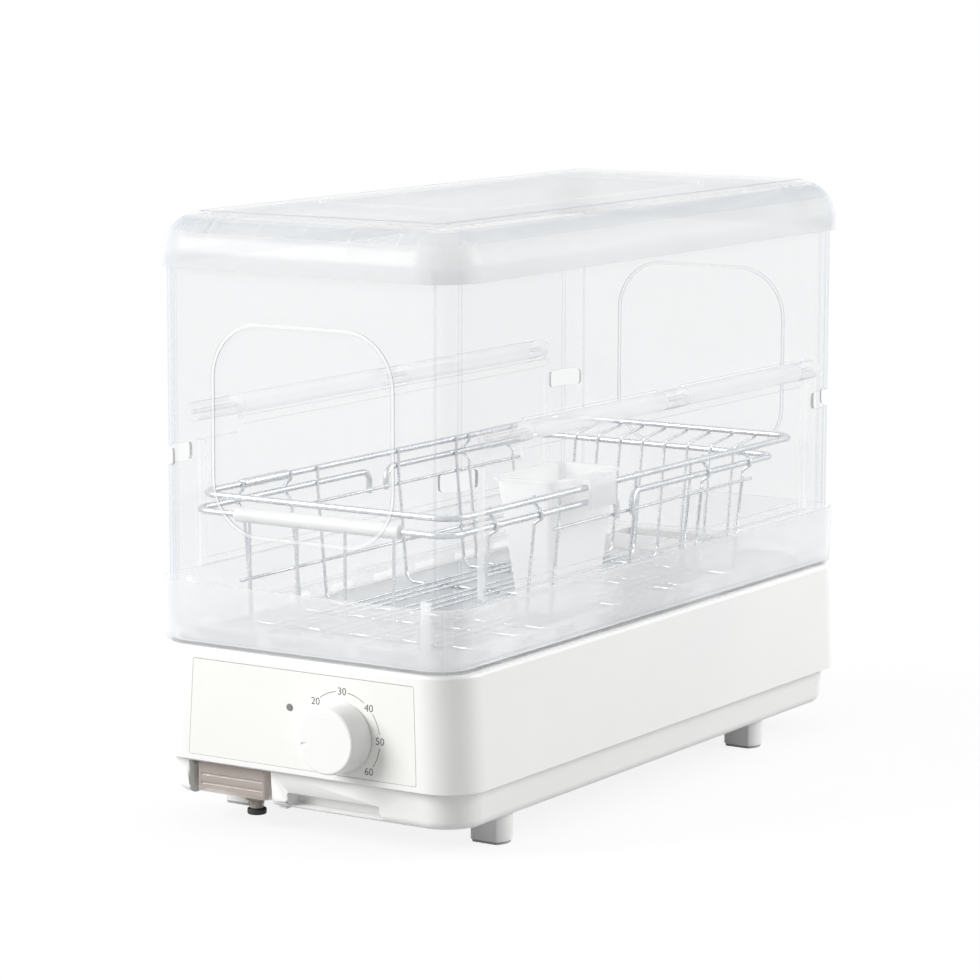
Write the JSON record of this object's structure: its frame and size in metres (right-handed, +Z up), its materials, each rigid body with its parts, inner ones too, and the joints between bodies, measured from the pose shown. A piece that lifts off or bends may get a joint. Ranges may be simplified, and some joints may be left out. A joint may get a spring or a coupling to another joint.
{
  "type": "electric dish dryer",
  "caption": "Slim countertop dish dryer: heated base with timer dial and drain drawer, drip tray, wire basket with cutlery holder, clear hood with swing-up side flaps and vented lid.",
  "frame": {"origin": "middle of the bounding box in plan, on the surface that the dryer stands on", "axes": "+Z up; -Y towards the front with the timer dial, so Y runs along the dryer's length; +X to the right seen from the front"},
  "size_m": [0.2256, 0.4952, 0.3673],
  "materials": {
    "white_plastic": "satin",
    "panel_plastic": "satin",
    "clear_plastic": "glossy",
    "frosted_plastic": "satin",
    "smoked_plastic": "glossy",
    "steel_wire": "polished",
    "steel_screw": "satin",
    "steel_sheet": "satin",
    "black_rubber": "matte",
    "grey_rubber": "matte",
    "inner_plastic": "matte",
    "lamp_lens": "glossy"
  },
  "bodies": {
    "base": {"base_housing": "white_plastic", "bottom_case": "white_plastic", "case_screws": "steel_screw", "feet": "white_plastic", "foot_pads": "grey_rubber", "control_panel": "panel_plastic", "power_lamp": "lamp_lens", "timer_switch": "inner_plastic", "air_outlet_sleeve": "white_plastic", "fan_duct": "steel_sheet", "fan_motor": "steel_sheet", "heater": "steel_sheet", "thermostat": "inner_plastic", "thermal_fuse": "inner_plastic", "drain_pipe": "white_plastic", "cord_gland": "inner_plastic"},
    "dial": {"timer_dial": "white_plastic", "timer_shaft": "steel_screw"},
    "fan": {"fan_wheel": "inner_plastic"},
    "drawer": {"drain_drawer": "smoked_plastic"},
    "plug": {"drain_plug": "black_rubber"},
    "tray": {"drip_tray": "frosted_plastic"},
    "hood": {"hood_shell": "clear_plastic", "lid": "frosted_plastic", "hinge_pins": "white_plastic"},
    "left_flap": {"door_left": "clear_plastic"},
    "right_flap": {"door_right": "clear_plastic"},
    "basket": {"basket_rim": "steel_wire", "basket_front_rail": "steel_wire", "basket_rear_rail": "steel_wire", "basket_left_wires": "steel_wire", "basket_right_wires": "steel_wire", "basket_front_wires": "steel_wire", "basket_rear_shelf": "steel_wire", "basket_rear_wires": "steel_wire", "basket_floor": "steel_wire", "handle_grip": "white_plastic", "rim_sleeve": "steel_wire"},
    "holder": {"cutlery_holder": "frosted_plastic"}
  },
  "joints": [
    {"name": "timer_turn", "type": "hinge", "parent": "base", "child": "dial", "pos_m": [0.0304, -0.24, 0.068], "axis": [0, 1, 0], "range_deg": [0, 235]},
    {"name": "fan_spin", "type": "hinge", "parent": "base", "child": "fan", "pos_m": [0, 0.1275, 0.035], "axis": [0, 0, 1], "continuous": true},
    {"name": "drawer_slide", "type": "slide", "parent": "base", "child": "drawer", "axis": [0, -1, 0], "range_m": [0, 0.12]},
    {"name": "plug_pull", "type": "slide", "parent": "drawer", "child": "plug", "axis": [0, 0, -1], "range_m": [0, 0.006]},
    {"name": "tray_lift", "type": "slide", "parent": "base", "child": "tray", "axis": [0, 0, 1], "range_m": [0, 0.06]},
    {"name": "hood_lift", "type": "slide", "parent": "tray", "child": "hood", "axis": [0, 0, 1], "range_m": [0, 0.12]},
    {"name": "left_flap_swing", "type": "hinge", "parent": "hood", "child": "left_flap", "pos_m": [-0.1039, 0.0075, 0.243], "axis": [0, 1, 0], "range_deg": [0, 176]},
    {"name": "right_flap_swing", "type": "hinge", "parent": "hood", "child": "right_flap", "pos_m": [0.1039, 0.0075, 0.243], "axis": [0, -1, 0], "range_deg": [0, 176]},
    {"name": "basket_lift", "type": "slide", "parent": "tray", "child": "basket", "axis": [0, 0, 1], "range_m": [0, 0.06]},
    {"name": "holder_lift", "type": "slide", "parent": "basket", "child": "holder", "axis": [0, 0, 1], "range_m": [0, 0.06]}
  ]
}
